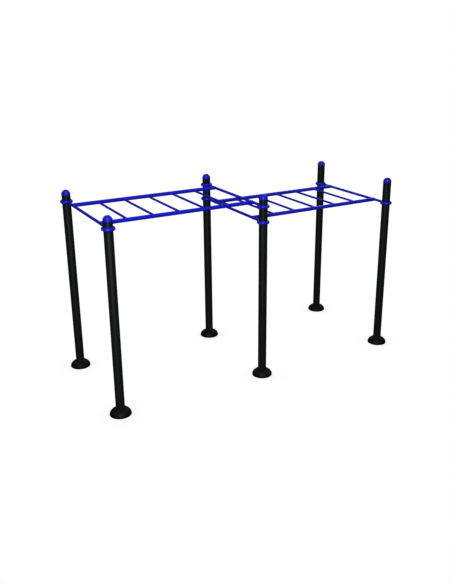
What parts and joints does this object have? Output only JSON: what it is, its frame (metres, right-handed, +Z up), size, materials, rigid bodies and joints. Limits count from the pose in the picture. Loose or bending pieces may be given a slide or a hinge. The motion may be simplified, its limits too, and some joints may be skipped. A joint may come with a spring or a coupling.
{
  "type": "monkey bars",
  "caption": "Two-level monkey bars: an upper and a lower horizontal ladder end to end, clamped with round collars to two rows of black posts with domed caps and base covers.",
  "frame": {"origin": "on the ground, under the middle of the frame, midway between the two middle posts", "axes": "+X along the ladders towards the lower one, +Y from the front row of posts to the back row, +Z up"},
  "size_m": [4.26, 1.76, 2.45],
  "materials": {
    "post_black": "semi-gloss powder coat",
    "cover_black": "semi-gloss powder coat on a casting",
    "ladder_blue": "gloss powder coat",
    "clamp_blue": "gloss powder coat on a casting",
    "cap_blue": "glossy moulded plastic",
    "screw_steel": "stainless steel"
  },
  "bodies": {
    "root": {"post_left_back": "post_black", "post_left_front": "post_black", "post_middle_back": "post_black", "post_middle_front": "post_black", "post_right_back": "post_black", "post_right_front": "post_black", "base_plate_left_back": "post_black", "base_plate_left_front": "post_black", "base_plate_middle_back": "post_black", "base_plate_middle_front": "post_black", "base_plate_right_back": "post_black", "base_plate_right_front": "post_black", "base_cover_left_back": "cover_black", "base_cover_left_front": "cover_black", "base_cover_middle_back": "cover_black", "base_cover_middle_front": "cover_black", "base_cover_right_back": "cover_black", "base_cover_right_front": "cover_black", "post_cap_left_back": "cap_blue", "post_cap_left_front": "cap_blue", "post_cap_middle_back": "cap_blue", "post_cap_middle_front": "cap_blue", "post_cap_right_back": "cap_blue", "post_cap_right_front": "cap_blue", "upper_clamp_inner_left_back": "clamp_blue", "upper_clamp_inner_left_front": "clamp_blue", "upper_clamp_inner_middle_back": "clamp_blue", "upper_clamp_inner_middle_front": "clamp_blue", "lower_clamp_inner_middle_back": "clamp_blue", "lower_clamp_inner_middle_front": "clamp_blue", "lower_clamp_inner_right_back": "clamp_blue", "lower_clamp_inner_right_front": "clamp_blue", "upper_clamp_outer_left_back": "clamp_blue", "upper_clamp_outer_left_front": "clamp_blue", "upper_clamp_outer_middle_back": "clamp_blue", "upper_clamp_outer_middle_front": "clamp_blue", "lower_clamp_outer_middle_back": "clamp_blue", "lower_clamp_outer_middle_front": "clamp_blue", "lower_clamp_outer_right_back": "clamp_blue", "lower_clamp_outer_right_front": "clamp_blue", "upper_end_bar_left": "ladder_blue", "upper_end_bar_right": "ladder_blue", "upper_rail_back": "ladder_blue", "upper_rail_front": "ladder_blue", "upper_rung_1": "ladder_blue", "upper_rung_2": "ladder_blue", "upper_rung_3": "ladder_blue", "upper_rung_4": "ladder_blue", "upper_rung_5": "ladder_blue", "lower_end_bar_left": "ladder_blue", "lower_end_bar_right": "ladder_blue", "lower_rail_back": "ladder_blue", "lower_rail_front": "ladder_blue", "lower_rung_1": "ladder_blue", "lower_rung_2": "ladder_blue", "lower_rung_3": "ladder_blue", "lower_rung_4": "ladder_blue", "lower_rung_5": "ladder_blue", "clamp_screws": "screw_steel", "cover_set_screws": "screw_steel"}
  },
  "joints": []
}
